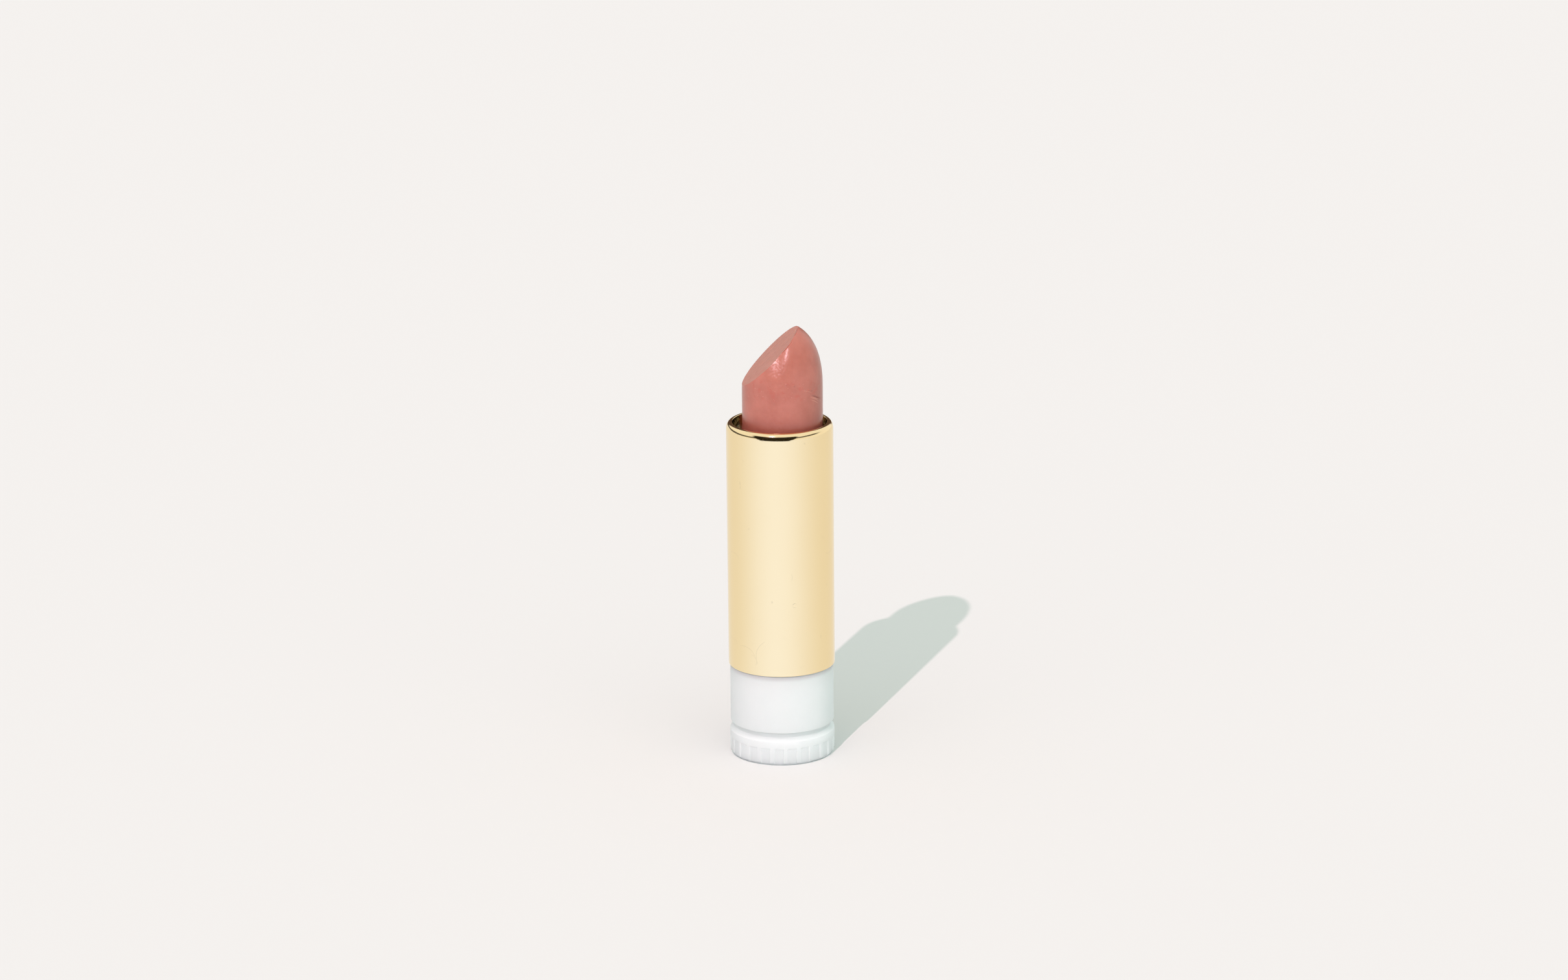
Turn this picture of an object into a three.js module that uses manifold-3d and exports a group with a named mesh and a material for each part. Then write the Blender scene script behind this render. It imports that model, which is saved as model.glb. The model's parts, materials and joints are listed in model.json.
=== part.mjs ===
// Twist-up lipstick refill, without its outer case or cap.
//
// A translucent inner body stands on its ribbed foot and reaches up as two slotted tines. A gold
// sleeve, pressed onto a cam tube, turns around the tines. The lugs of the carrier cup pass through
// the tines' straight slots into the cam tube's helical slots, so turning the sleeve lifts the cup
// and the slant-cut lipstick that it holds.
//
// Millimetres, +Z up, origin on the axis at the underside of the foot. The slanted face of the
// lipstick looks along -X.

import * as THREE from 'three';
import { mergeVertices } from 'three/addons/utils/BufferGeometryUtils.js';
import Module from 'manifold-3d';

// ---- driving dimensions ----

const BULLET_RADIUS = 6.3; // a half-inch mould, less the wax's shrinkage
const TIP_HEIGHT = 68.7;
const SLEEVE_RADIUS = 8.35;
const SLEEVE_BOTTOM = 14.65;
const SLEEVE_TOP = 53.77;
const BASE_TOP = 14.5; // shoulder under the sleeve
const LEAD = 20; // lift for one turn of the sleeve
const TRAVEL_UP = 4; // from the pose shown to fully extended
const TRAVEL_DOWN = 17.9; // from the pose shown to fully retracted

// ---- walls and running gaps ----

const SLEEVE_WALL = 0.35;
const CAM_INNER = 7.42;
const CAM_OUTER = 7.92;
const TINE_INNER = 6.85;
const TINE_OUTER = 7.3;
const CUP_INNER = 6.35;
const CUP_OUTER = 6.75;
const SEAT_GAP = 0.05; // between parts that are pressed or set together

// ---- tessellation ----

const ROUND = 48; // segments of every turned part
const DEG = Math.PI / 180;
const TURN = 2 * Math.PI;

// ---- manifold-3d helpers: they only join and cut ----

const wasm = await Module();
wasm.setup();

function solid(geometry) {
	const bare = geometry.index ? geometry.toNonIndexed() : geometry.clone();
	bare.deleteAttribute('normal');
	bare.deleteAttribute('uv');
	const merged = mergeVertices(bare, 1e-4);
	return new wasm.Manifold(new wasm.Mesh({
		numProp: 3,
		vertProperties: merged.attributes.position.array,
		triVerts: new Uint32Array(merged.index.array),
	}));
}

function geometryOf(manifold) {
	const mesh = manifold.getMesh();
	const geometry = new THREE.BufferGeometry();
	geometry.setAttribute('position', new THREE.BufferAttribute(mesh.vertProperties, 3));
	geometry.setIndex(new THREE.BufferAttribute(mesh.triVerts, 1));
	const flat = geometry.toNonIndexed();
	flat.computeVertexNormals();
	return flat;
}

// ---- shape helpers ----

// A solid of revolution about Z, from [radius, height] points that run up the outside.
function turned(profile) {
	const points = profile.map(([r, z]) => new THREE.Vector2(r, z));
	return new THREE.LatheGeometry(points, ROUND).rotateX(Math.PI / 2);
}

function ring(profile) {
	return turned([...profile, profile[0]]);
}

// Points of a circular arc in the [radius, height] plane.
function arc(r, z, radius, from, to, steps) {
	return Array.from({ length: steps + 1 }, (_, i) => {
		const angle = (from + (to - from) * i / steps) * DEG;
		return [r + radius * Math.cos(angle), z + radius * Math.sin(angle)];
	});
}

function box(width, depth, height, x, y, z) {
	return new THREE.BoxGeometry(width, depth, height).translate(x, y, z);
}

function piece(name, geometry, colour, roughness, metalness) {
	const material = new THREE.MeshStandardMaterial({ color: colour, roughness, metalness });
	const mesh = new THREE.Mesh(geometry, material);
	mesh.name = name;
	return mesh;
}

// ---- inner body: ribbed foot, snap groove, band, neck and two tines ----

const FOOT_RADIUS = 8.22;
const FOOT_CHAMFER = 0.4;
const RIB_COUNT = 24;
const RIB_WIDTH = 0.75;
const RIB_HEIGHT = 2.8;
const RIB_PHASE = -86.7; // degrees from +X, so that one rib stands just right of the front
const VALLEY_RADIUS = 7.95;
const FOOT_TOP = 3.9;
const GROOVE_RADIUS = 7.6;
const GROOVE_BOTTOM = 4.5;
const GROOVE_TOP = 5.1;
const BAND_BOTTOM = 5.3;
const BAND_RADIUS = 8.12;
const BAND_ROUNDING = 0.2;
const DRAG_GROOVES = [15.6, 17.8]; // lower edges of the two grooves in the neck
const DRAG_GROOVE_HEIGHT = 1.1;
const DRAG_GROOVE_RADIUS = 6.92;
const CAVITY_RADIUS = 6.4;
const FLOOR_THICKNESS = 1.6;
const LEDGE_HEIGHT = 20.1; // the cup lands here
const TINE_TOP = 50.3;
const HOOK_RADIUS = 7.6;
const HOOK_BOTTOM = 49.5;
const SLOT_WIDTH = 2.1;
const SLOT_BOTTOM = 20.8;
const LABEL_RADIUS = 5.4;
const LABEL_RECESS = 0.3;

function innerBodyProfile() {
	const dragGrooves = DRAG_GROOVES.flatMap((low) => [
		[TINE_OUTER, low],
		[DRAG_GROOVE_RADIUS, low],
		[DRAG_GROOVE_RADIUS, low + DRAG_GROOVE_HEIGHT],
		[TINE_OUTER, low + DRAG_GROOVE_HEIGHT],
	]);
	return [
		[0, LABEL_RECESS],
		[LABEL_RADIUS, LABEL_RECESS],
		[LABEL_RADIUS, 0],
		[FOOT_RADIUS - FOOT_CHAMFER, 0],
		[FOOT_RADIUS, FOOT_CHAMFER],
		[FOOT_RADIUS, FOOT_TOP],
		[GROOVE_RADIUS, GROOVE_BOTTOM],
		[GROOVE_RADIUS, GROOVE_TOP],
		[BAND_RADIUS, BAND_BOTTOM],
		...arc(BAND_RADIUS - BAND_ROUNDING, BASE_TOP - BAND_ROUNDING, BAND_ROUNDING, 0, 90, 3),
		[TINE_OUTER, BASE_TOP],
		...dragGrooves,
		[TINE_OUTER, HOOK_BOTTOM],
		[HOOK_RADIUS, HOOK_BOTTOM],
		[HOOK_RADIUS, HOOK_BOTTOM + 0.3],
		[TINE_OUTER, TINE_TOP],
		[TINE_INNER, TINE_TOP],
		[TINE_INNER, LEDGE_HEIGHT],
		[CAVITY_RADIUS, LEDGE_HEIGHT],
		[CAVITY_RADIUS, FLOOR_THICKNESS],
		[0, FLOOR_THICKNESS],
	];
}

// The gap between two neighbouring ribs of the foot.
function ribValley(index) {
	const pitch = 360 / RIB_COUNT;
	const width = TURN * FOOT_RADIUS / RIB_COUNT - RIB_WIDTH;
	const depth = 1;
	const turn = (RIB_PHASE + (index + 0.5) * pitch) * DEG;
	return box(depth, width, 2 * RIB_HEIGHT, VALLEY_RADIUS + depth / 2, 0, 0).rotateZ(turn);
}

function innerBody() {
	let body = solid(turned(innerBodyProfile()));
	for (let i = 0; i < RIB_COUNT; i++) body = body.subtract(solid(ribValley(i)));
	const slotHeight = TINE_TOP + 1 - SLOT_BOTTOM;
	const slots = box(4 * TINE_OUTER, SLOT_WIDTH, slotHeight, 0, 0, SLOT_BOTTOM + slotHeight / 2);
	return geometryOf(body.subtract(solid(slots)));
}

function shadeLabel() {
	const thickness = 0.15;
	const top = LABEL_RECESS - SEAT_GAP;
	return turned([
		[0, top - thickness],
		[LABEL_RADIUS - 0.3, top - thickness],
		[LABEL_RADIUS - 0.3, top],
		[0, top],
	]);
}

// A drag ring of silicone: a rounded section in its groove, just short of the cam tube.
function dragRing(low) {
	const inner = DRAG_GROOVE_RADIUS + SEAT_GAP / 2;
	const outer = CAM_INNER - SEAT_GAP / 2;
	const bottom = low + SEAT_GAP;
	const top = low + DRAG_GROOVE_HEIGHT - SEAT_GAP;
	const bevel = 0.15;
	return ring([
		[inner, bottom],
		[outer - bevel, bottom],
		[outer, bottom + 2 * bevel],
		[outer, top - 2 * bevel],
		[outer - bevel, top],
		[inner, top],
	]);
}

// ---- sleeve: drawn aluminium tube with a rolled rim, hemmed inwards ----

const CROWN_RADIUS = 1.7; // the wall rounds over gently, then more tightly
const CROWN_ANGLE = 26; // degrees, where the tighter corner begins
const CORNER_RADIUS = 0.7;
const RIM_INNER = 7.38;
const RIM_BEVEL = 0.1;
const HEM_BOTTOM = 50.9;
const HEM_WALL = 0.3;

function outerSleeve() {
	const inner = SLEEVE_RADIUS - SLEEVE_WALL;
	const lean = CROWN_ANGLE * DEG;
	const offset = CROWN_RADIUS - CORNER_RADIUS; // from one arc's centre to the other's
	const cornerRadial = SLEEVE_RADIUS - CORNER_RADIUS - offset * (1 - Math.cos(lean));
	const cornerHeight = SLEEVE_TOP - CORNER_RADIUS;
	const crownBottom = cornerHeight - offset * Math.sin(lean);
	const foldRadius = (inner - RIM_INNER - HEM_WALL) / 2;
	const foldHeight = SLEEVE_TOP - SLEEVE_WALL - foldRadius;
	return ring([
		[inner, SLEEVE_BOTTOM],
		[SLEEVE_RADIUS - 0.15, SLEEVE_BOTTOM],
		[SLEEVE_RADIUS, SLEEVE_BOTTOM + 0.15],
		...arc(SLEEVE_RADIUS - CROWN_RADIUS, crownBottom, CROWN_RADIUS, 0, CROWN_ANGLE, 3),
		...arc(cornerRadial, cornerHeight, CORNER_RADIUS, CROWN_ANGLE, 90, 3).slice(1),
		[RIM_INNER + RIM_BEVEL, SLEEVE_TOP],
		[RIM_INNER, SLEEVE_TOP - RIM_BEVEL],
		[RIM_INNER, HEM_BOTTOM],
		[RIM_INNER + HEM_WALL, HEM_BOTTOM],
		...arc(inner - foldRadius, foldHeight, foldRadius, 180, 0, 3),
	]);
}

// ---- cam tube: two helical slots, half a turn apart, pressed inside the sleeve ----

const CAM_BOTTOM = 14.62;
const CAM_TOP = 49.3;
const HELIX_SLOT_WIDTH = 2.2; // across the slot
const HELIX_STEP = 7.5; // degrees

// The carrier at the pose shown.
const CUP_TOP = 50.1;
const CUP_HEIGHT = 12;
const CUP_BOTTOM = CUP_TOP - CUP_HEIGHT;
const CUP_FLOOR = 1;
const LUG_RADIUS = 0.9;
const LUG_HEIGHT = CUP_BOTTOM + 1.6;
const LUG_END = CAM_OUTER - 0.07;

// A box bent along the helix: its x becomes the radius, y the angle and z the height.
function helixCutter(phase) {
	const slope = LEAD / TURN;
	const helixAngle = Math.atan2(LEAD, TURN * CAM_OUTER);
	const overrun = HELIX_SLOT_WIDTH / 2 / CAM_INNER;
	const from = -TRAVEL_DOWN / slope - overrun;
	const to = TRAVEL_UP / slope + overrun;
	const height = HELIX_SLOT_WIDTH / Math.cos(helixAngle);
	const steps = Math.round((to - from) / (HELIX_STEP * DEG));
	const depth = 1.2;
	const blank = new THREE.BoxGeometry(depth, to - from, height, 1, steps, 1);
	const position = blank.attributes.position;
	for (let i = 0; i < position.count; i++) {
		const radius = (CAM_INNER + CAM_OUTER) / 2 + position.getX(i);
		const angle = position.getY(i) + (from + to) / 2;
		const z = LUG_HEIGHT + slope * angle + position.getZ(i);
		position.setXYZ(i, radius * Math.cos(angle + phase), radius * Math.sin(angle + phase), z);
	}
	return blank;
}

function camTube() {
	const tube = solid(ring([
		[CAM_INNER, CAM_BOTTOM],
		[CAM_OUTER, CAM_BOTTOM],
		[CAM_OUTER, CAM_TOP],
		[CAM_INNER, CAM_TOP],
	]));
	return geometryOf(tube.subtract(solid(helixCutter(0))).subtract(solid(helixCutter(Math.PI))));
}

// ---- carrier cup with its two lugs ----

const VENT_RADIUS = 1.5;

function lug(side) {
	const inner = CUP_INNER + 0.15;
	const length = LUG_END - inner;
	const pin = new THREE.CylinderGeometry(LUG_RADIUS, LUG_RADIUS, length, 16).rotateZ(Math.PI / 2);
	return pin.translate(side * (inner + length / 2), 0, LUG_HEIGHT);
}

function carrierCup() {
	const cup = solid(ring([
		[VENT_RADIUS, CUP_BOTTOM],
		[CUP_OUTER - 0.2, CUP_BOTTOM],
		[CUP_OUTER, CUP_BOTTOM + 0.2],
		[CUP_OUTER, CUP_TOP],
		[CUP_INNER, CUP_TOP],
		[CUP_INNER, CUP_BOTTOM + CUP_FLOOR],
		[VENT_RADIUS, CUP_BOTTOM + CUP_FLOOR],
	]));
	return geometryOf(cup.add(solid(lug(1))).add(solid(lug(-1))));
}

// ---- lipstick: a rounded nose cut by one slanted plane ----

const NOSE_BOTTOM = 58.5; // the cylinder ends and the nose begins
const NOSE_HEIGHT = 10.9;
const NOSE_POWER = 2.6; // 2 would be half an ellipse, and more is fuller
const SLANT = 45.5; // degrees between the cut and the horizontal

// A point of the nose, a superellipse, from its shoulder at 0 degrees to its top at 90.
function nosePoint(angle) {
	const rise = Math.sin(angle * DEG) ** (2 / NOSE_POWER);
	return [BULLET_RADIUS * Math.cos(angle * DEG), NOSE_BOTTOM + NOSE_HEIGHT * rise];
}

function lipstick() {
	const bottom = CUP_BOTTOM + CUP_FLOOR + SEAT_GAP;
	const steps = 14;
	const nose = Array.from({ length: steps }, (_, i) => nosePoint(90 * i / steps));
	const blank = solid(turned([
		[0, bottom],
		[BULLET_RADIUS, bottom],
		...nose,
		[0, NOSE_BOTTOM + NOSE_HEIGHT],
	]));
	const tipRise = (TIP_HEIGHT - NOSE_BOTTOM) / NOSE_HEIGHT;
	const tip = BULLET_RADIUS * Math.sqrt(1 - tipRise ** NOSE_POWER);
	const knife = box(60, 60, 30, 0, 0, 15).rotateY(-SLANT * DEG).translate(tip, 0, TIP_HEIGHT);
	return geometryOf(blank.subtract(solid(knife)));
}

// ---- assembly ----

const refill = new THREE.Group();

const standing = new THREE.Group(); // stays on the table
standing.add(piece('inner_body', innerBody(), 0xe8ecea, 0.45, 0));
standing.add(piece('shade_label', shadeLabel(), 0xf2f0ea, 0.6, 0));
standing.add(piece('drag_ring_lower', dragRing(DRAG_GROOVES[0]), 0xd9dcdc, 0.6, 0));
standing.add(piece('drag_ring_upper', dragRing(DRAG_GROOVES[1]), 0xd9dcdc, 0.6, 0));

const turning = new THREE.Group(); // turned by hand
turning.add(piece('outer_sleeve', outerSleeve(), 0xe9cf97, 0.2, 1));
turning.add(piece('cam_tube', camTube(), 0xf1f1ee, 0.5, 0));

const lifting = new THREE.Group(); // rises and falls
lifting.add(piece('carrier_cup', carrierCup(), 0xeceae4, 0.45, 0));
lifting.add(piece('lipstick_bullet', lipstick(), 0xc17c6e, 0.4, 0));

refill.add(standing, turning, lifting);

export default refill;
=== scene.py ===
"""Looks for the twist-up lipstick refill: fine meshes, materials, light and camera.

Shapes are worked out in millimetres, as in the CAD source, and written to the meshes in metres.
"""

import json
import math

import bmesh
import bpy
from mathutils import Euler, Matrix, Vector, noise


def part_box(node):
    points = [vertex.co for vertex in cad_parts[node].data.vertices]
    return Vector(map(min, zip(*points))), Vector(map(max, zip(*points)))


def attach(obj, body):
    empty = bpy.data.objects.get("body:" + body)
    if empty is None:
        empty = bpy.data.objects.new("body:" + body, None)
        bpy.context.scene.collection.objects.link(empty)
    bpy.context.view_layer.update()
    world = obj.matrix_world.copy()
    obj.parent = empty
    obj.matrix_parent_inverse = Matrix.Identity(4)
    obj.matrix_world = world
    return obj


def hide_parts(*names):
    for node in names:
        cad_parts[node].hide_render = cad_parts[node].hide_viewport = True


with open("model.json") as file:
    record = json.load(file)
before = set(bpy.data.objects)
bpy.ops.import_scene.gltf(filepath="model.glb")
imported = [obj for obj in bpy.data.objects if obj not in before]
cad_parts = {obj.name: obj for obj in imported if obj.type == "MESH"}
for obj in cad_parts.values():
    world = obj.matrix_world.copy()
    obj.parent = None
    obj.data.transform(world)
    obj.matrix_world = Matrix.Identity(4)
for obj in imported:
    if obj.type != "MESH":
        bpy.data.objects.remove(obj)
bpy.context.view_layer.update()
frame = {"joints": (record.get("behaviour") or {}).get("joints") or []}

MM = 0.001


def node_box(name):
    """A CAD node's lowest and highest corners, in millimetres."""
    low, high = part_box(name)
    return low / MM, high / MM


SLEEVE_LOW, SLEEVE_HIGH = node_box("outer_sleeve")
BODY_HIGH = node_box("inner_body")[1]
CAM_LOW, CAM_HIGH = node_box("cam_tube")
CUP_LOW, CUP_HIGH = node_box("carrier_cup")
WAX_LOW, WAX_HIGH = node_box("lipstick_bullet")
LABEL_LOW, LABEL_HIGH = node_box("shade_label")
RIDE_TRAVEL = {j["name"]: j for j in frame["joints"]}["carrier_lift"]["range_m"]

# ---------------------------------------------------------------- camera

CAMERA_DISTANCE = 0.75
CAMERA_HEIGHT_ANGLE = math.radians(16.6)
AIM_HEIGHT = 0.034
LENS = 110.18
PITCH_UP = math.radians(0.6315)  # the object stands a little below the middle of the picture
YAW_RIGHT = math.radians(0.0395)
LEAN = math.radians(0.55)  # the object leans to the left in the picture


def make_camera():
    data = bpy.data.cameras.new("camera")
    data.lens = LENS
    data.sensor_width = 36
    camera = bpy.data.objects.new("camera", data)
    bpy.context.scene.collection.objects.link(camera)
    away = Vector((0, -math.cos(CAMERA_HEIGHT_ANGLE), math.sin(CAMERA_HEIGHT_ANGLE)))
    level = Euler((math.pi / 2 - CAMERA_HEIGHT_ANGLE, 0, 0)).to_matrix()
    aim = Matrix.Rotation(-LEAN, 3, "Z") @ Matrix.Rotation(PITCH_UP, 3, "X")
    aim = aim @ Matrix.Rotation(-YAW_RIGHT, 3, "Y")
    place = (level @ aim).to_4x4()
    place.translation = Vector((0, 0, AIM_HEIGHT)) + away * CAMERA_DISTANCE
    camera.matrix_world = place
    bpy.context.scene.camera = camera


# ---------------------------------------------------------------- outlines


def arc(r, z, radius, start, end, steps):
    """Points of a circular arc in the [radius, height] plane, with angles in degrees."""
    angles = (math.radians(start + (end - start) * i / steps) for i in range(steps + 1))
    return [(r + radius * math.cos(a), z + radius * math.sin(a)) for a in angles]


def filleted(corners, steps=5):
    """An outline from (r, z) or (r, z, fillet radius) corners, each fillet as an arc."""
    outline = []
    for i, corner in enumerate(corners):
        here = Vector(corner[:2])
        if len(corner) == 2:
            outline.append(tuple(here))
            continue
        back = (Vector(corners[i - 1][:2]) - here).normalized()
        ahead = (Vector(corners[(i + 1) % len(corners)][:2]) - here).normalized()
        half = back.angle(ahead) / 2
        centre = here + (back + ahead).normalized() * corner[2] / math.sin(half)
        first = here + back * corner[2] / math.tan(half) - centre
        last = here + ahead * corner[2] / math.tan(half) - centre
        for k in range(steps + 1):
            t = k / steps
            spoke = first.lerp(last, t).normalized() * corner[2]
            outline.append(tuple(centre + spoke))
    return outline


# ---------------------------------------------------------------- meshes


def even_angles(count):
    return [2 * math.pi * i / count for i in range(count)]


def turned(outline, angles, radius_at=None):
    """A bmesh turned about Z. An outline that doesn't touch the axis is closed on itself."""
    bm = bmesh.new()
    rings = []
    for r, z in outline:
        if r < 1e-6:
            rings.append([bm.verts.new((0, 0, z * MM))])
            continue
        ring = []
        for a in angles:
            reach = radius_at(r, z, a) if radius_at else r
            ring.append(bm.verts.new((reach * MM * math.cos(a), reach * MM * math.sin(a), z * MM)))
        rings.append(ring)
    pairs = list(zip(rings, rings[1:]))
    if outline[0][0] > 1e-6:
        pairs.append((rings[-1], rings[0]))
    for lower, upper in pairs:
        bridge(bm, lower, upper)
    bmesh.ops.recalc_face_normals(bm, faces=bm.faces)
    return bm


def bridge(bm, lower, upper):
    """Joins two closed rings, either of which may be a single point."""
    count = max(len(lower), len(upper))
    for i in range(count):
        j = (i + 1) % count
        if len(lower) == 1:
            bm.faces.new((lower[0], upper[j], upper[i]))
        elif len(upper) == 1:
            bm.faces.new((lower[i], lower[j], upper[0]))
        else:
            bm.faces.new((lower[i], lower[j], upper[j], upper[i]))


def new_object(name, bm, sharp_angle=35):
    mesh = bpy.data.meshes.new(name)
    bm.to_mesh(mesh)
    bm.free()
    mesh.shade_smooth()
    mesh.set_sharp_from_angle(angle=math.radians(sharp_angle))
    piece = bpy.data.objects.new(name, mesh)
    bpy.context.scene.collection.objects.link(piece)
    return piece


def boolean(piece, others, operation):
    """Cuts or joins other objects into a piece for good, and removes them."""
    for other in others:
        modifier = piece.modifiers.new(operation, "BOOLEAN")
        modifier.operation = operation
        modifier.solver = "EXACT"
        modifier.object = other
    graph = bpy.context.evaluated_depsgraph_get()
    mesh = bpy.data.meshes.new_from_object(piece.evaluated_get(graph))
    piece.modifiers.clear()
    old = piece.data
    piece.data = mesh
    mesh.name = piece.name
    bpy.data.meshes.remove(old)
    for other in others:
        bpy.data.objects.remove(other)
    mesh.shade_smooth()
    mesh.set_sharp_from_angle(angle=math.radians(35))
    return piece


def finish_piece(piece, body, node, material):
    piece.data.materials.clear()
    piece.data.materials.append(material)
    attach(piece, body)
    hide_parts(node)
    return piece


# ---------------------------------------------------------------- inner body

RIB_COUNT = 24
RIB_PHASE = math.radians(-86.7)
RIB_HALF = 0.375 / 2.15  # half a rib's width as a share of the pitch
RIB_TOP = 2.8
VALLEY_RADIUS = 8.05
BAND_RADIUS = 8.12
BASE_TOP = 14.5
GROOVE_RADIUS = 7.6
TINE_INNER = 6.85
TINE_OUTER = 7.3
DRAG_GROOVES = (15.6, 17.8)
DRAG_GROOVE_HEIGHT = 1.1
DRAG_GROOVE_RADIUS = 6.92
LABEL_RADIUS = 5.4
LABEL_RECESS = 0.3
SLOT_WIDTH = 2.1
SLOT_BOTTOM = 20.8
HOOK_RADIUS = 7.6
HOOK_BOTTOM = 49.5
TINE_TOP = 50.3
CUP_LEDGE = 20.1
BORE_RADIUS = 6.4
BORE_FLOOR = 1.6


def smooth_step(low, high, x):
    t = min(1, max(0, (x - low) / (high - low)))
    return t * t * (3 - 2 * t)


def rib_angles():
    """Angles round the foot, close together on the flanks of each rib."""
    flank = [RIB_HALF - 0.03, RIB_HALF - 0.012, RIB_HALF, RIB_HALF + 0.012, RIB_HALF + 0.03]
    half = [0.07, *flank, RIB_HALF + 0.09, RIB_HALF + 0.2]
    shares = [-s for s in reversed(half)] + [0] + half + [0.5]
    pitch = 2 * math.pi / RIB_COUNT
    return [RIB_PHASE + (i + s) * pitch for i in range(RIB_COUNT) for s in shares]


def foot_radius(r, z, angle):
    """Sinks the valleys between the ribs into the side of the foot."""
    if z > RIB_TOP + 0.01 or r < VALLEY_RADIUS:
        return r
    turns = (angle - RIB_PHASE) / (2 * math.pi) * RIB_COUNT
    away = abs(turns - round(turns))
    valley = smooth_step(RIB_HALF - 0.03, RIB_HALF + 0.03, away)
    valley *= 1 - smooth_step(RIB_TOP - 0.25, RIB_TOP, z)
    return r + (VALLEY_RADIUS - r) * valley


def inner_body():
    foot = BODY_HIGH.x
    rib_rows = [(foot, z) for z in (0.9, 1.5, 2.1, 2.5, 2.6, 2.7, 2.75, RIB_TOP, RIB_TOP + 0.05)]
    drag = []
    for low in DRAG_GROOVES:
        high = low + DRAG_GROOVE_HEIGHT
        drag += [(TINE_OUTER, low, 0.06), (DRAG_GROOVE_RADIUS, low, 0.1)]
        drag += [(DRAG_GROOVE_RADIUS, high, 0.1), (TINE_OUTER, high, 0.06)]
    outline = filleted([
        (0, LABEL_RECESS),
        (LABEL_RADIUS, LABEL_RECESS, 0.05),
        (LABEL_RADIUS, 0, 0.08),
        (VALLEY_RADIUS - 0.1, 0),
        (foot - 0.4, 0, 0.1),
        (foot, 0.4, 0.15),
        *rib_rows,
        (foot, 3.9, 0.14),
        (GROOVE_RADIUS, 4.5, 0.12),
        (GROOVE_RADIUS, 5.1, 0.05),
        (BAND_RADIUS, 5.3, 0.12),
        (BAND_RADIUS, BASE_TOP, 0.2),
        (TINE_OUTER, BASE_TOP, 0.15),
        *drag,
        (TINE_OUTER, HOOK_BOTTOM, 0.05),
        (HOOK_RADIUS, HOOK_BOTTOM, 0.08),
        (HOOK_RADIUS, HOOK_BOTTOM + 0.3, 0.08),
        (TINE_OUTER, TINE_TOP, 0.08),
        (TINE_INNER, TINE_TOP, 0.08),
        (TINE_INNER, CUP_LEDGE, 0.1),
        (BORE_RADIUS, CUP_LEDGE, 0.1),
        (BORE_RADIUS, BORE_FLOOR, 0.5),
        (0, BORE_FLOOR),
    ])
    piece = new_object("inner_body_fine", turned(outline, rib_angles(), foot_radius))
    slots = bmesh.new()
    bmesh.ops.create_cube(slots, size=1)
    height = 60 - SLOT_BOTTOM
    slots.transform(Matrix.Translation((0, 0, (SLOT_BOTTOM + height / 2) * MM))
                    @ Matrix.Diagonal((30 * MM, SLOT_WIDTH * MM, height * MM, 1)))
    return boolean(piece, [new_object("slots", slots)], "DIFFERENCE")


def shade_label():
    top = LABEL_HIGH.z
    low = LABEL_LOW.z
    rim = LABEL_HIGH.x
    outline = filleted([(0, low), (rim, low, 0.03), (rim, top, 0.03), (0, top)], 3)
    return new_object("shade_label_fine", turned(outline, even_angles(128)))


def drag_ring(name, node):
    low, high = node_box(node)
    inner = DRAG_GROOVE_RADIUS + 0.025
    middle = (inner + high.x) / 2
    half_width = high.x - middle
    half_height = (high.z - low.z) / 2
    centre = (high.z + low.z) / 2
    outline = [
        (middle + half_width * math.cos(a), centre + half_height * math.sin(a))
        for a in even_angles(20)
    ]
    return new_object(name, turned(outline, even_angles(128)), 180)


# ---------------------------------------------------------------- sleeve

CROWN_RADIUS = 1.7
CROWN_ANGLE = 26
CORNER_RADIUS = 0.7
RIM_INNER = 7.38
HEM_BOTTOM = 50.9
HEM_WALL = 0.3
SLEEVE_WALL = 0.35


def outer_sleeve():
    outer, bottom, top = SLEEVE_HIGH.x, SLEEVE_LOW.z, SLEEVE_HIGH.z
    inner = outer - SLEEVE_WALL
    lean = math.radians(CROWN_ANGLE)
    corner_height = top - CORNER_RADIUS
    offset = CROWN_RADIUS - CORNER_RADIUS
    corner_radial = outer - CORNER_RADIUS - offset * (1 - math.cos(lean))
    crown_bottom = corner_height - offset * math.sin(lean)
    fold = (inner - RIM_INNER - HEM_WALL) / 2
    rows = 24
    wall = [(outer, bottom + (crown_bottom - bottom) * i / rows) for i in range(1, rows)]
    outline = [
        (inner, bottom + 0.08),
        (inner + 0.08, bottom),
        (outer - 0.13, bottom),
        *arc(outer - 0.12, bottom + 0.12, 0.12, -90, 0, 6),
        *wall,
        *arc(outer - CROWN_RADIUS, crown_bottom, CROWN_RADIUS, 0, CROWN_ANGLE, 14),
        *arc(corner_radial, corner_height, CORNER_RADIUS, CROWN_ANGLE, 90, 16)[1:],
        *arc(RIM_INNER + 0.1, top - 0.1, 0.1, 90, 180, 6),
        *arc(RIM_INNER + 0.08, HEM_BOTTOM + 0.08, 0.08, 180, 270, 4),
        *arc(RIM_INNER + HEM_WALL - 0.08, HEM_BOTTOM + 0.08, 0.08, -90, 0, 4),
        *arc(inner - fold, top - SLEEVE_WALL - fold, fold, 180, 0, 10),
    ]
    return new_object("outer_sleeve_fine", turned(outline, even_angles(256)))


# ---------------------------------------------------------------- cam tube

LEAD = 20
CAM_INNER = 7.42
HELIX_SLOT_HALF = 1.1
LUG_RADIUS = 0.9
LUG_ABOVE_CUP = 1.6  # the lugs' height above the cup's underside
SLOT_END_STRETCH = 1.15  # longer slot ends, so that the lugs clear them at both limits
CUTTER_INNER = 7.0
CUTTER_OUTER = 8.4
SLOT_COLUMNS = 90


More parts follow.
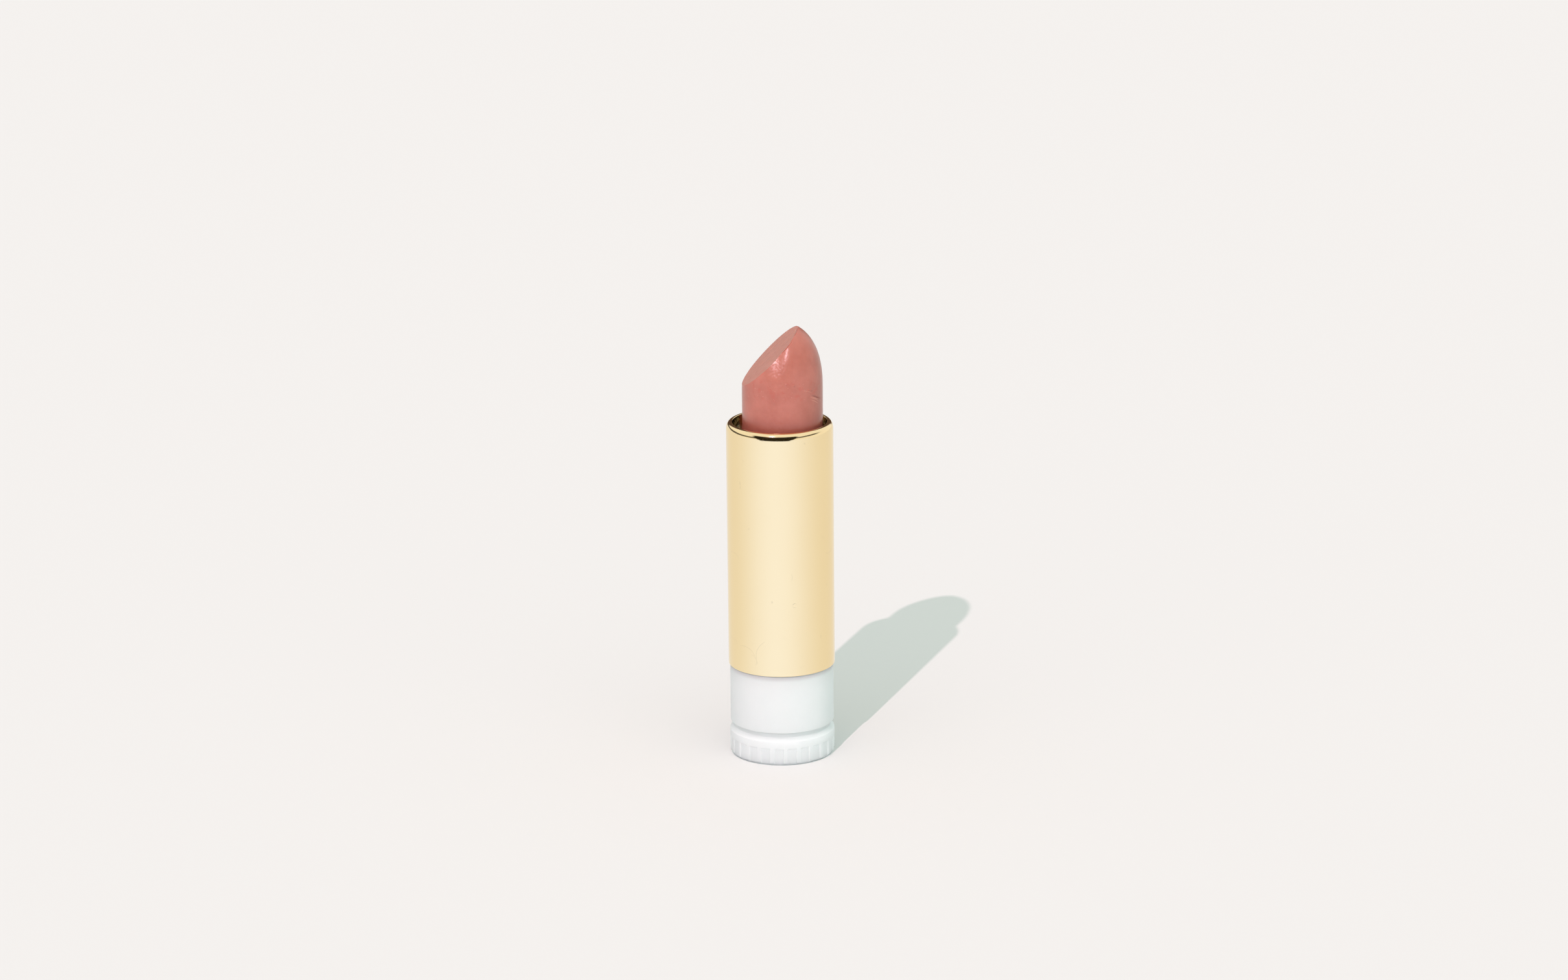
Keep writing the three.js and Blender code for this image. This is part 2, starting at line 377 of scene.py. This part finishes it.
def helix_cutter(phase):
    """A slot with round ends, bent round the tube along the helix that the lugs follow."""
    slope = LEAD / (2 * math.pi)
    middle = (CAM_INNER + CAM_HIGH.x) / 2
    tilt = math.atan2(slope, middle)
    lug_height = CUP_LOW.z + LUG_ABOVE_CUP
    start, end = (travel / MM / slope for travel in RIDE_TRAVEL)
    round_end = SLOT_END_STRETCH * HELIX_SLOT_HALF * math.cos(tilt) / middle
    quarter = [math.pi / 2 * i / 10 for i in range(11)]
    columns = [(start - round_end * math.cos(a), max(0.02, math.sin(a))) for a in quarter]
    columns += [(start + (end - start) * i / SLOT_COLUMNS, 1) for i in range(1, SLOT_COLUMNS)]
    columns += [(end + round_end * math.sin(a), max(0.02, math.cos(a))) for a in quarter]
    bm = bmesh.new()
    loops = []
    for angle, share in columns:
        half = HELIX_SLOT_HALF * share / math.cos(tilt)
        loop = []
        corners = ((CUTTER_INNER, -1), (CUTTER_OUTER, -1), (CUTTER_OUTER, 1), (CUTTER_INNER, 1))
        for radius, side in corners:
            height = lug_height + slope * angle + side * half
            spot = Vector((radius, 0, height)) * MM
            loop.append(bm.verts.new(Matrix.Rotation(angle + phase, 3, "Z") @ spot))
        loops.append(loop)
    for one, two in zip(loops, loops[1:]):
        bridge(bm, one, two)
    bm.faces.new(loops[0])
    bm.faces.new(loops[-1])
    bmesh.ops.recalc_face_normals(bm, faces=bm.faces)
    return new_object("helix_cutter", bm)


def cam_tube():
    low, high, outer = CAM_LOW.z, CAM_HIGH.z, CAM_HIGH.x
    outline = filleted([
        (CAM_INNER, low, 0.1),
        (outer, low, 0.1),
        (outer, high, 0.1),
        (CAM_INNER, high, 0.1),
    ], 3)
    tube = new_object("cam_tube_fine", turned(outline, even_angles(192)))
    return boolean(tube, [helix_cutter(0), helix_cutter(math.pi)], "DIFFERENCE")


# ---------------------------------------------------------------- carrier cup

CUP_INNER = 6.35
CUP_OUTER = 6.75
VENT_RADIUS = 1.5
CUP_FLOOR = 1


def lug(side):
    inner, outer = CUP_INNER + 0.15, CUP_HIGH.x
    outline = filleted([(0, inner), (LUG_RADIUS, inner), (LUG_RADIUS, outer, 0.15), (0, outer)], 4)
    bm = turned(outline, even_angles(40))
    place = Matrix.Translation((0, 0, (CUP_LOW.z + LUG_ABOVE_CUP) * MM))
    bm.transform(place @ Matrix.Rotation(side * math.pi / 2, 4, "Y"))
    return new_object("lug", bm)


def carrier_cup():
    low, high = CUP_LOW.z, CUP_HIGH.z
    outline = filleted([
        (VENT_RADIUS, low, 0.1),
        (CUP_OUTER, low, 0.25),
        (CUP_OUTER, high, 0.08),
        (CUP_INNER, high, 0.08),
        (CUP_INNER, low + CUP_FLOOR, 0.02),
        (VENT_RADIUS, low + CUP_FLOOR, 0.1),
    ])
    cup = new_object("carrier_cup_fine", turned(outline, even_angles(160)))
    return boolean(cup, [lug(1), lug(-1)], "UNION")


# ---------------------------------------------------------------- lipstick

NOSE_BOTTOM = 58.5
NOSE_HEIGHT = 10.9
NOSE_POWER = 2.6
SLANT = math.radians(45.5)
SLANT_TURN = math.radians(2.8)  # the slanted face looks a hair towards the front
WAX_RADIUS = WAX_HIGH.x - 0.03  # slimmer than the CAD's, to leave room for its relief
SET_ASIDE = 0.46  # the lipstick stands a little right of the sleeve's axis
SIDE_COLUMNS = 440
SIDE_ROWS = 170
FACE_ROWS = 60


def nose_radius(z):
    rise = min(1, max(0, (z - NOSE_BOTTOM) / NOSE_HEIGHT))
    return WAX_RADIUS * math.sqrt(1 - rise ** NOSE_POWER)


def cut_level():
    """The height at which the slanted cut crosses the axis."""
    return WAX_HIGH.z - math.tan(SLANT) * nose_radius(WAX_HIGH.z)


def cut_height(angle):
    """The height at which the side meets the slanted cut, by halving."""
    level = cut_level()
    rise = math.tan(SLANT) * math.cos(angle - SLANT_TURN)
    low, high = WAX_LOW.z, NOSE_BOTTOM + NOSE_HEIGHT
    for _ in range(40):
        middle = (low + high) / 2
        if middle < level + rise * nose_radius(middle):
            low = middle
        else:
            high = middle
    return low


def wobble(x, y, z, scale):
    return noise.noise(Vector((x, y, z)) * scale)


def bell(x, middle, width):
    return math.exp(-((x - middle) / width) ** 2)


def aside(z):
    """How far right of the sleeve's axis the lipstick stands, none of it inside the cup."""
    lean = LEAN_PER_MM * (z - LEAN_START)
    return SET_ASIDE * smooth_step(CUP_HIGH.z - 0.3, SLEEVE_HIGH.z - 0.4, z) + max(0, lean)


WORN_BOTTOM = 61.6  # where the flattened spot under the slanted face begins
FLASH = 0.55  # how far the side's wax laps over the slanted face near the tip
LEAN_START = 55
LEAN_PER_MM = 0.008
# Bearings of the marks on the side, in degrees, and the gouge's height, slope and half length.
FRONT_BEARING = -90
WORN_BEARING = -100
CRACK_BEARING = -80
GOUGE_BEARING = -33
GOUGE_HEIGHT = 58.35
GOUGE_SLOPE = 0.42
GOUGE_HALF = 1.1


def around(angle, degrees):
    """The distance round the side from a bearing given in degrees, in millimetres."""
    turn = math.remainder(angle - math.radians(degrees), 2 * math.pi)
    return turn * WAX_RADIUS


def parting_line(along):
    """The height of the faint line left by the mould's rim, which sags towards the right."""
    return 61.2 - 0.28 * along + 0.25 * math.sin(1.3 * along)


def side_relief(angle, z, cut):
    """How far the wax of the side stands out, in millimetres."""
    x, y = WAX_RADIUS * math.cos(angle), WAX_RADIUS * math.sin(angle)
    relief = 0.03 * wobble(x, y, z, 0.28) + 0.012 * wobble(x, y, z, 0.9)
    relief += 0.004 * wobble(x, y, z, 4)
    front = around(angle, FRONT_BEARING)
    dots = max(0, wobble(x, y, z, 2.6)) * smooth_step(-2.5, -1, front) * smooth_step(6.5, 5, front)
    relief += 0.22 * dots * bell(z, parting_line(front), 0.12)
    gouge = around(angle, GOUGE_BEARING)
    drop = z - GOUGE_HEIGHT + GOUGE_SLOPE * gouge
    trough = bell(drop, 0.05, 0.1) - 0.5 * bell(drop, -0.17, 0.09)
    relief -= 0.18 * trough * math.exp(-(gouge / GOUGE_HALF) ** 4)
    worn = around(angle, WORN_BEARING)
    above = max(0, z - WORN_BOTTOM)
    flat = above ** 2 / (above + 0.4)
    relief -= (0.18 * flat + 0.02 * wobble(x, y, z, 3)) * bell(worn, -0.1, 1.7)
    crack = around(angle, CRACK_BEARING)
    relief -= 0.09 * bell(cut - z, 0.1, 0.05) * smooth_step(1.5, 0.9, abs(crack))
    return relief


def face_relief(across, down):
    """How far the wax of the slanted face stands out: long streaks that run down the slope."""
    streaks = 0.05 * wobble(across * 1.6, down * 0.12, 3, 1)
    streaks += 0.03 * wobble(across * 5, down * 0.25, 7, 1)
    return streaks + 0.025 * wobble(across, down, 5, 0.5)


def flash_width(angle):
    """How far the side's wax laps over the slanted face at a bearing, in millimetres."""
    bearing = math.degrees(angle)
    return FLASH * smooth_step(-80, -52, bearing) * smooth_step(6, -12, bearing)


def side_ring(bm, angles, cuts, heights, reach=0):
    ring = []
    for a, cut, z in zip(angles, cuts, heights):
        r = nose_radius(z) + reach
        if z > CUP_HIGH.z:
            r += side_relief(a, z, cut)
        ring.append(bm.verts.new(Vector((r * math.cos(a) + aside(z), r * math.sin(a), z)) * MM))
    return ring


def lipstick_bullet():
    bm = bmesh.new()
    on_face = bm.verts.layers.float.new("cut_face")
    angles = even_angles(SIDE_COLUMNS)
    cuts = [cut_height(a) for a in angles]
    low = WAX_LOW.z
    start = CUP_HIGH.z - 0.6
    rings = [[bm.verts.new((0, 0, low * MM))]]
    rings.append(side_ring(bm, angles, cuts, [low] * SIDE_COLUMNS, -0.2))
    for i in range(6):
        height = low + 0.2 + (start - low - 0.2) * i / 6
        rings.append(side_ring(bm, angles, cuts, [height] * SIDE_COLUMNS))
    for i in range(SIDE_ROWS + 1):
        left = (1 - i / SIDE_ROWS) ** 1.4
        rings.append(side_ring(bm, angles, cuts, [cut - (cut - start) * left for cut in cuts]))

    uphill = Vector((math.cos(SLANT_TURN), math.sin(SLANT_TURN), 0))
    across = Vector((-uphill.y, uphill.x, 0))
    out = Vector((0, 0, math.cos(SLANT))) - uphill * math.sin(SLANT)
    edge = [v.co.copy() for v in rings[-1]]
    centre = sum(edge, Vector()) / len(edge)
    for k in range(1, FACE_ROWS + 1):
        share = (k / FACE_ROWS) ** 1.3
        points = [e.lerp(centre, share) for e in (edge if k < FACE_ROWS else edge[:1])]
        ring = []
        for e, p, a in zip(edge, points, angles):
            lift = face_relief(p.dot(across) / MM, p.dot(uphill) / MM / math.cos(SLANT))
            lift *= smooth_step(0, 0.06, share)
            inward = (p - e).length / MM
            lap = flash_width(math.remainder(a, 2 * math.pi))
            if lap > 0.05:
                raised = 0.09 * smooth_step(lap, lap - 0.1, inward)
                lift += raised - 0.12 * bell(inward, lap + 0.05, 0.06)
            vert = bm.verts.new(p + out * lift * MM)
            vert[on_face] = smooth_step(lap - 0.08, lap, inward) if lap > 0.05 else 1
            ring.append(vert)
        rings.append(ring)
    for lower, upper in zip(rings, rings[1:]):
        bridge(bm, lower, upper)
    bmesh.ops.recalc_face_normals(bm, faces=bm.faces)
    near_edge = [v for ring in rings[-FACE_ROWS - 3:-FACE_ROWS + 2] for v in ring]
    bmesh.ops.smooth_vert(
        bm, verts=near_edge, factor=0.5, use_axis_x=True, use_axis_y=True, use_axis_z=True)
    return new_object("lipstick_bullet_fine", bm, 60)


# ---------------------------------------------------------------- materials


class Nodes:
    """A short way to write a node tree, for a new material unless another tree is given."""

    def __init__(self, name, owner=None):
        self.material = owner or bpy.data.materials.new(name)
        self.material.use_nodes = True
        self.tree = self.material.node_tree
        self.shader = self.tree.nodes.get("Principled BSDF")

    def add(self, kind, inputs=(), **settings):
        node = self.tree.nodes.new(kind)
        for key, value in settings.items():
            setattr(node, key, value)
        for key, value in dict(inputs).items():
            self.put(node.inputs[key], value)
        return node

    def put(self, socket, value):
        if isinstance(value, bpy.types.NodeSocket):
            self.tree.links.new(value, socket)
        else:
            socket.default_value = value

    def set(self, **values):
        """Sets the shader's sockets: Base_Color=..., Roughness=..."""
        for key, value in values.items():
            self.put(self.shader.inputs[key.replace("_", " ")], value)

    def math(self, operation, a, b=0.0):
        return self.add("ShaderNodeMath", {0: a, 1: b}, operation=operation).outputs[0]

    def ramp(self, value, low, high, out_low=0.0, out_high=1.0):
        node = self.add("ShaderNodeMapRange", {
            "Value": value,
            "From Min": low,
            "From Max": high,
            "To Min": out_low,
            "To Max": out_high,
        })
        return node.outputs[0]

    def soft(self, value, low, high):
        """0 below low and 1 above high, or the other way round where low is the greater."""
        node = self.add("ShaderNodeMapRange", {"Value": value, "From Min": low, "From Max": high},
                        interpolation_type="SMOOTHSTEP")
        return node.outputs[0]

    def soft_angle(self, value, low, high):
        """As soft, with the limits in degrees and the value in radians."""
        return self.soft(value, math.radians(low), math.radians(high))

    def product(self, first, *others):
        for other in others:
            first = self.math("MULTIPLY", first, other)
        return first

    def mix(self, share, a, b):
        node = self.add("ShaderNodeMix", data_type="RGBA")
        self.put(node.inputs["Factor"], share)
        self.put(node.inputs[6], a)
        self.put(node.inputs[7], b)
        return node.outputs[2]

    def place(self, scale=(1, 1, 1)):
        """Object coordinates in millimetres, stretched."""
        coordinates = self.add("ShaderNodeTexCoord").outputs["Object"]
        per_metre = tuple(s / MM for s in scale)
        return self.add("ShaderNodeMapping", {"Vector": coordinates, "Scale": per_metre}).outputs[0]

    def split(self, vector):
        return self.add("ShaderNodeSeparateXYZ", {0: vector}).outputs

    def noise(self, where, scale, detail=2.0, roughness=0.5):
        node = self.add("ShaderNodeTexNoise", {
            "Vector": where, "Scale": scale, "Detail": detail, "Roughness": roughness,
        })
        return node.outputs["Fac"]

    def bump(self, height, distance, strength=1.0, normal=None):
        inputs = {"Height": height, "Distance": distance * MM, "Strength": strength}
        if normal is not None:
            inputs["Normal"] = normal
        return self.add("ShaderNodeBump", inputs).outputs[0]


def rgb(red, green, blue):
    return (red, green, blue, 1)


# Fine scratches on the front of the sleeve: centre x and z, radius, then the arc kept, as the
# bearing of its middle and half its spread in degrees. All in millimetres, on the plane y = 0.
SCRATCHES = [
    (0.9, 30.8, 0.85, 0, 40),
    (2.1, 26.2, 0.33, 160, 130),
    (-7.35, 33.0, 0.75, 60, 60),
    (-7.6, 18.9, 0.7, 70, 50),
    (-5.9, 17.3, 1.75, 60, 45),
    (-4.9, 16.9, 1.0, 20, 60),
    (-1.1, 17.8, 2.9, 165, 42),
    (7.45, 33.9, 0.45, -80, 70),
    (6.5, 36.3, 0.2, 0, 120),
]
# Torn wax beside the gouge, in the same terms.
TORN_WAX = [
    (3.69, 55.85, 3.0, 52, 12),
    (3.76, 55.94, 3.0, 56, 8),
    (3.50, 55.60, 3.0, 49, 9),
    (3.10, 57.02, 3.0, 66, 7),
]
SCRATCH_HALF_WIDTH = 0.045


def scratch(n, x, z, centre_x, centre_z, radius, bearing, spread):
    """1 along one arc and 0 elsewhere."""
    right = n.math("SUBTRACT", x, centre_x)
    up = n.math("SUBTRACT", z, centre_z)
    reach = n.math("SQRT", n.math("ADD", n.product(right, right), n.product(up, up)))
    line = n.soft(n.math("ABSOLUTE", n.math("SUBTRACT", reach, radius)), SCRATCH_HALF_WIDTH, 0)
    turn = math.radians(bearing)
    facing = n.math("ADD", n.product(right, math.cos(turn)), n.product(up, math.sin(turn)))
    limit = radius * math.cos(math.radians(spread))
    return n.product(line, n.soft(facing, limit - 0.1, limit + 0.1))


def scratches(n, x, z, arcs):
    """1 along any of the arcs and 0 elsewhere."""
    marks = 0
    for shape in arcs:
        marks = n.math("MAXIMUM", marks, scratch(n, x, z, *shape))
    return marks


def gold_material():
    """Pale gold anodised aluminium, close to a mirror, with slow waves and hairline scratches."""
    n = Nodes("gold_anodised")
    here = n.place()
    x, y, z = n.split(here)
    waves = n.noise(n.place((0.3, 0.3, 0.06)), 1, 2)
    grain = n.noise(n.place((0.6, 0.6, 8)), 1, 3)
    spots = n.product(n.soft(n.noise(here, 1.7, 0), 0.83, 0.85), 0.5)
    marks = n.product(n.math("MAXIMUM", spots, scratches(n, x, z, SCRATCHES)), n.soft(y, 0, -1))
    tone = n.mix(n.noise(here, 0.12, 2), rgb(0.94, 0.745, 0.42), rgb(0.955, 0.765, 0.44))
    n.set(Base_Color=n.mix(n.product(marks, 0.35), tone, rgb(0.72, 0.55, 0.33)), Metallic=1.0)
    n.set(Roughness=n.math("ADD", n.ramp(grain, 0.3, 0.7, 0.07, 0.11), n.product(marks, 0.15)))
    slow = n.bump(waves, 0.025)
    n.set(Normal=n.bump(marks, 0.006, 1.0, n.bump(grain, 0.0003, 1.0, slow)))
    return n.material


def frosted_material():
    """Natural polypropylene: milky, translucent and finely frosted, with painted shade just under
    the sleeve's edge.
    """
    n = Nodes("frosted_polypropylene")
    here = n.place()
    height = n.split(here)[2]
    cloud = n.noise(here, 0.3, 3)
    tone = n.mix(cloud, rgb(0.785, 0.90, 0.895), rgb(0.825, 0.93, 0.925))
    # Painted shade: a grey band at the top of the base, standing in for the shade that the sleeve's
    # edge casts on it.
    painted_sleeve_shade = n.soft(height, 13.6, 14.5)
    n.set(Base_Color=n.mix(n.product(painted_sleeve_shade, 0.8), tone, rgb(0.62, 0.63, 0.66)))
    n.set(Subsurface_Weight=0.9, Subsurface_Scale=0.005, Subsurface_Radius=(1.0, 1.0, 1.0))
    n.set(Transmission_Weight=0.2, IOR=1.49, Specular_IOR_Level=0.35)
    n.set(Roughness=n.ramp(n.noise(here, 5, 3), 0.3, 0.7, 0.42, 0.55))
    n.set(Normal=n.bump(n.noise(here, 9, 4), 0.004))
    return n.material


def wax_material():
    """Dusty rose wax: satin, pitted sides, painted shade low down by the sleeve's rim, and a
    duller, streaked slanted face.
    """
    n = Nodes("lipstick_wax")
    here = n.place()
    x, y, height = n.split(here)
    face = n.add("ShaderNodeAttribute", attribute_name="cut_face").outputs["Fac"]
    mottle = n.noise(here, 0.35, 4, 0.6)
    side = n.mix(n.ramp(mottle, 0.35, 0.65), rgb(0.385, 0.128, 0.093), rgb(0.44, 0.155, 0.116))
    # Painted shade: the wax darkens towards the bottom, where the sleeve's rim shades it.
    painted_rim_shade = n.soft(height, 56.5, 53.5)
    side = n.mix(n.product(painted_rim_shade, 0.62), side, rgb(0.255, 0.062, 0.043))
    band = n.product(n.soft(height, 57.8, 59.2), n.soft(height, 62.4, 60.8))
    patches = n.product(n.soft(n.noise(here, 1.1, 3), 0.52, 0.68), band)
    side = n.mix(n.product(patches, 0.45), side, rgb(0.42, 0.095, 0.065))
    pits = n.add("ShaderNodeTexVoronoi", {"Vector": here, "Scale": 1.3}).outputs["Distance"]
    pit = n.product(n.soft(pits, 0.13, 0.05), n.soft(n.noise(here, 0.7, 1), 0.45, 0.6))
    specks = n.add("ShaderNodeTexVoronoi", {"Vector": here, "Scale": 2.3}).outputs["Distance"]
    speck = n.product(n.soft(specks, 0.16, 0.06), n.soft(n.noise(here, 1.9, 1), 0.5, 0.6), band)
    side = n.mix(n.product(pit, 0.4), side, rgb(0.30, 0.08, 0.06))
    side = n.mix(n.product(speck, 0.6), side, rgb(0.75, 0.40, 0.33))
    torn = n.product(scratches(n, x, height, TORN_WAX), n.soft(y, 0, -1))
    side = n.mix(n.product(torn, 0.8), side, rgb(0.80, 0.42, 0.30))
    streaks = n.noise(n.place((1.2, 5, 1.2)), 1, 3)
    dull = n.mix(n.ramp(streaks, 0.3, 0.7), rgb(0.40, 0.178, 0.135), rgb(0.46, 0.215, 0.172))
    n.set(Base_Color=n.mix(face, side, dull))
    n.set(Subsurface_Weight=0.2, Subsurface_Scale=0.001, Subsurface_Radius=(1.0, 0.35, 0.25))
    n.set(IOR=1.46)
    n.set(Roughness=n.ramp(face, 0, 1, 0.3, 0.55))
    skin = n.bump(n.noise(here, 2.2, 4), 0.02)
    n.set(Normal=n.bump(n.math("SUBTRACT", speck, pit), 0.03, 0.6, skin))
    return n.material


def moulded_material(name, low, high, roughness):
    """White moulded plastic with a faint flow pattern."""
    n = Nodes(name)
    here = n.place()
    n.set(Base_Color=n.mix(n.noise(here, 0.5, 3), low, high))
    n.set(Roughness=n.ramp(n.noise(here, 4, 3), 0.3, 0.7, roughness - 0.05, roughness + 0.05))
    n.set(Normal=n.bump(n.noise(here, 8, 3), 0.003))
    return n.material


def silicone_material():
    n = Nodes("clear_silicone")
    here = n.place()
    n.set(Base_Color=n.mix(n.noise(here, 0.6, 2), rgb(0.7, 0.74, 0.75), rgb(0.8, 0.82, 0.82)))
    n.set(Roughness=n.ramp(n.noise(here, 3, 3), 0.3, 0.7, 0.25, 0.4))
    n.set(Subsurface_Weight=0.4, Subsurface_Scale=0.001)
    return n.material


def label_material():
    """Blank label stock with fine fibres."""
    n = Nodes("label_paper")
    fibres = n.noise(n.place((2, 9, 2)), 1, 4)
    n.set(Base_Color=n.mix(fibres, rgb(0.86, 0.84, 0.80), rgb(0.93, 0.92, 0.89)), Roughness=0.7)
    n.set(Normal=n.bump(fibres, 0.006))
    return n.material


# ---------------------------------------------------------------- floor and light

FLOOR_SIZE = 12
POOL_TURN = math.radians(-10)  # the brightest part of the reflected floor, from the front
PERSON_TURN = math.radians(-10)  # the dark shape in front of the object, from the front
PALE = rgb(0.90, 0.88, 0.855)  # what the camera sees
AMBIENT = rgb(1.27, 1.375, 1.305)  # what lights matt surfaces
SHADED_SIDES = rgb(0.32, 0.38, 0.37)
STUDIO_WALL = rgb(0.97, 0.96, 0.94)  # what shiny surfaces reflect, with the next two
FAR_WALL = rgb(0.10, 0.06, 0.045)
PERSON = rgb(0.02, 0.016, 0.008)


def off_person(n, turn):
    """The bearing away from the middle of the dark shape."""
    return n.math("ABSOLUTE", n.math("SUBTRACT", turn, PERSON_TURN))


def flat_square(name):
    bm = bmesh.new()
    bmesh.ops.create_grid(bm, x_segments=2, y_segments=2, size=FLOOR_SIZE / 2)
    square = new_object(name, bm)
    return square


def make_floor():
    floor = flat_square("floor")
    floor.visible_glossy = False
    n = Nodes("pale_floor")
    n.set(Base_Color=rgb(0.656, 0.65, 0.64), Roughness=0.9)
    n.set(Specular_IOR_Level=0.0)
    floor.data.materials.append(n.material)


def make_floor_in_reflections():
    """The floor as the gold sees it: brighter and cooler where the front light falls on it."""
    floor = flat_square("floor_in_reflections")
    for kind in ("camera", "diffuse", "transmission", "volume_scatter", "shadow"):
        setattr(floor, "visible_" + kind, False)
    n = Nodes("lit_floor")
    x, y, _ = n.split(n.add("ShaderNodeTexCoord").outputs["Object"])
    along = n.math("SUBTRACT", n.product(x, math.sin(POOL_TURN)), n.product(y, math.cos(POOL_TURN)))
    reach = n.math("SQRT", n.math("ADD", n.product(x, x), n.product(y, y)))
    facing = n.math("DIVIDE", along, n.math("MAXIMUM", reach, 1e-4))
    share = n.math("POWER", n.ramp(facing, -1, 1), 2.4)
    pool = n.mix(share, rgb(0.88, 0.86, 0.83), rgb(1.03, 1.12, 1.40))
    turn = n.math("ARCTAN2", x, n.math("MULTIPLY", y, -1.0))
    person = n.product(n.soft_angle(off_person(n, turn), 36, 30),
                       n.soft(reach, 0.34, 0.42))
    n.set(Base_Color=rgb(0, 0, 0), Specular_IOR_Level=0.0, Emission_Strength=1.0)
    n.set(Emission_Color=n.mix(person, pool, PERSON))
    floor.data.materials.append(n.material)


def make_world():
    """A pale studio, set apart for camera rays, for matt surfaces and for reflections.

    Reflections also see a dark shape in front, a dark rail round the room and a dark far wall.
    """
    world = bpy.data.worlds.new("studio")
    bpy.context.scene.world = world
    n = Nodes("studio", world)
    x, y, z = n.split(n.add("ShaderNodeTexCoord").outputs["Generated"])
    turn = n.math("ARCTAN2", x, n.math("MULTIPLY", y, -1.0))
    height = n.math("ARCSINE", z)
    off = off_person(n, turn)
    hem = n.ramp(off, *(math.radians(a) for a in (31, 48, -10, 17)))
    above_hem = n.math("SUBTRACT", height, hem)
    person = n.product(n.soft_angle(height, 36, 31),
                       n.soft_angle(above_hem, -2, 1),
                       n.soft_angle(off, 56, 46))
    rail_height = n.ramp(turn, *(math.radians(a) for a in (-100, 60, 9, 20)))
    off_rail = n.math("ABSOLUTE", n.math("SUBTRACT", height, rail_height))
    rail = n.product(n.soft_angle(off_rail, 6.5, 4),
                     n.soft_angle(turn, 108, 80), 0.9)
    back = n.product(n.soft_angle(n.math("ABSOLUTE", turn), 150, 160),
                     n.soft_angle(height, 75, 55))
    studio = n.mix(n.math("MAXIMUM", person, rail), STUDIO_WALL, PERSON)
    studio = n.mix(back, studio, FAR_WALL)
    sides = n.product(n.soft_angle(n.math("ABSOLUTE", turn), 25, 85),
                      n.soft_angle(height, 60, 25))
    even = n.mix(sides, AMBIENT, SHADED_SIDES)
    path = n.add("ShaderNodeLightPath").outputs
    seen = n.mix(path["Is Camera Ray"], n.mix(path["Is Glossy Ray"], even, studio), PALE)
    n.put(n.tree.nodes["Background"].inputs["Color"], seen)


def make_sun(name, turn, height, energy, colour, angle):
    """A distant light at a bearing to the right of the front and a height, in degrees."""
    data = bpy.data.lights.new(name, "SUN")
    data.energy = energy
    data.color = colour
    data.angle = math.radians(angle)
    sun = bpy.data.objects.new(name, data)
    bpy.context.scene.collection.objects.link(sun)
    turn, height = math.radians(turn), math.radians(height)
    across, up = math.cos(height), math.sin(height)
    towards = Vector((math.sin(turn) * across, -math.cos(turn) * across, up))
    sun.rotation_euler = towards.to_track_quat("Z", "Y").to_euler()
    return sun


def make_base_fill(body):
    """A light for the base alone, in place of what soaks through it to its shaded side."""
    fill = make_sun("base_fill", turn=78, height=4, energy=1.1, colour=(0.88, 1.0, 0.96), angle=90)
    lit = bpy.data.collections.new("lit_by_base_fill")
    lit.objects.link(body)
    fill.light_linking.receiver_collection = lit


# ---------------------------------------------------------------- all together

make_camera()
make_floor()
make_floor_in_reflections()
make_world()
make_sun("key", turn=-19.8, height=39.5, energy=2.084, colour=(1.0, 0.711, 0.793), angle=0.6)
bpy.context.scene.view_settings.view_transform = "Standard"

silicone = silicone_material()
body = finish_piece(inner_body(), "base", "inner_body", frosted_material())
make_base_fill(body)
finish_piece(shade_label(), "base", "shade_label", label_material())
for ring_node in ("drag_ring_lower", "drag_ring_upper"):
    finish_piece(drag_ring(ring_node + "_fine", ring_node), "base", ring_node, silicone)
finish_piece(outer_sleeve(), "sleeve", "outer_sleeve", gold_material())
finish_piece(cam_tube(), "sleeve", "cam_tube",
             moulded_material("cam_acetal", rgb(0.84, 0.84, 0.81), rgb(0.89, 0.89, 0.87), 0.4))
finish_piece(carrier_cup(), "carrier", "carrier_cup",
             moulded_material("cup_acetal", rgb(0.82, 0.81, 0.77), rgb(0.87, 0.86, 0.83), 0.4))
finish_piece(lipstick_bullet(), "carrier", "lipstick_bullet", wax_material())
